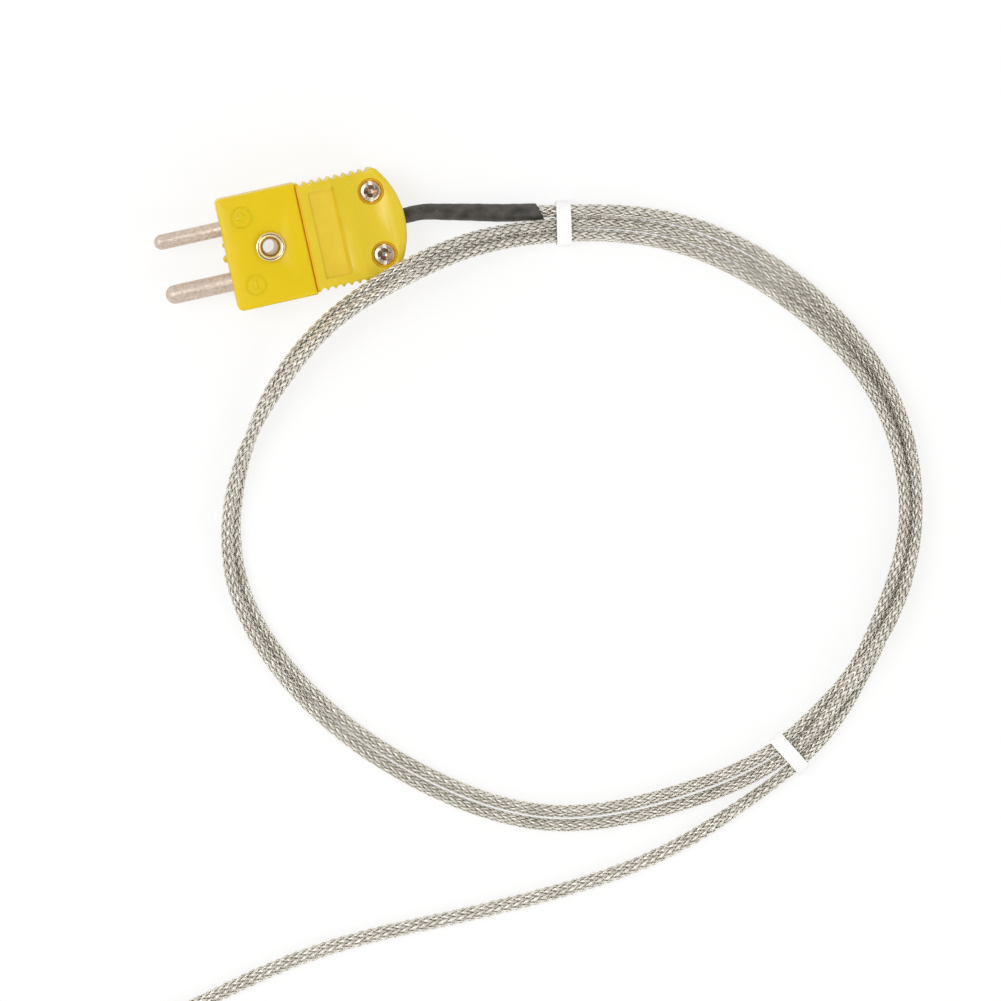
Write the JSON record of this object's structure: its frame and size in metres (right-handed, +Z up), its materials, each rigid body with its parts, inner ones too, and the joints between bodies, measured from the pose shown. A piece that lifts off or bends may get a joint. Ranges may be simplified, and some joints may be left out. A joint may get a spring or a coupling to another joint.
{
  "type": "thermocouple probe",
  "caption": "Thermocouple probe: a flat riveted plug with round pins, a braided metal cable tied in a loose loop, and a slim closed stainless sensing tip.",
  "frame": {"origin": "on the surface that the plug lies on, under the middle of the plug with its pins", "axes": "+X from the pins to the cable, +Y towards the narrower positive pin, +Z up through the cap"},
  "size_m": [0.2015, 0.2149, 0.0165],
  "materials": {
    "yellow_plastic": "moulded, faint satin grain",
    "blasted_nickel_alloy": "matt, blasted",
    "bright_brass": "bright, rolled",
    "plated_steel": "bright plated",
    "black_sleeve": "dull, shrunk on",
    "steel_braid": "fine bright wires, braided",
    "white_tie": "smooth white strap",
    "stainless_sheath": "drawn, satin",
    "white_ceramic": "unglazed",
    "positive_alloy_wire": "drawn wire",
    "negative_alloy_wire": "drawn wire"
  },
  "bodies": {
    "root": {"base_shell": "yellow_plastic", "front_cover": "yellow_plastic", "rear_cap": "yellow_plastic", "rivet_eyelet": "bright_brass", "positive_pin": "blasted_nickel_alloy", "negative_pin": "blasted_nickel_alloy", "positive_terminal_screw": "plated_steel", "negative_terminal_screw": "plated_steel", "positive_washer": "plated_steel", "negative_washer": "plated_steel", "positive_conductor": "positive_alloy_wire", "negative_conductor": "negative_alloy_wire", "cap_screw_1": "plated_steel", "cap_screw_2": "plated_steel", "heat_shrink_sleeve": "black_sleeve", "cable": "steel_braid", "cable_end": "steel_braid", "stowed_coil": "steel_braid", "tie_band_1": "white_tie", "tie_band_2": "white_tie", "coil_tie": "white_tie", "probe_sheath": "stainless_sheath", "ceramic_insulator": "white_ceramic", "hot_junction": "blasted_nickel_alloy"}
  },
  "joints": []
}
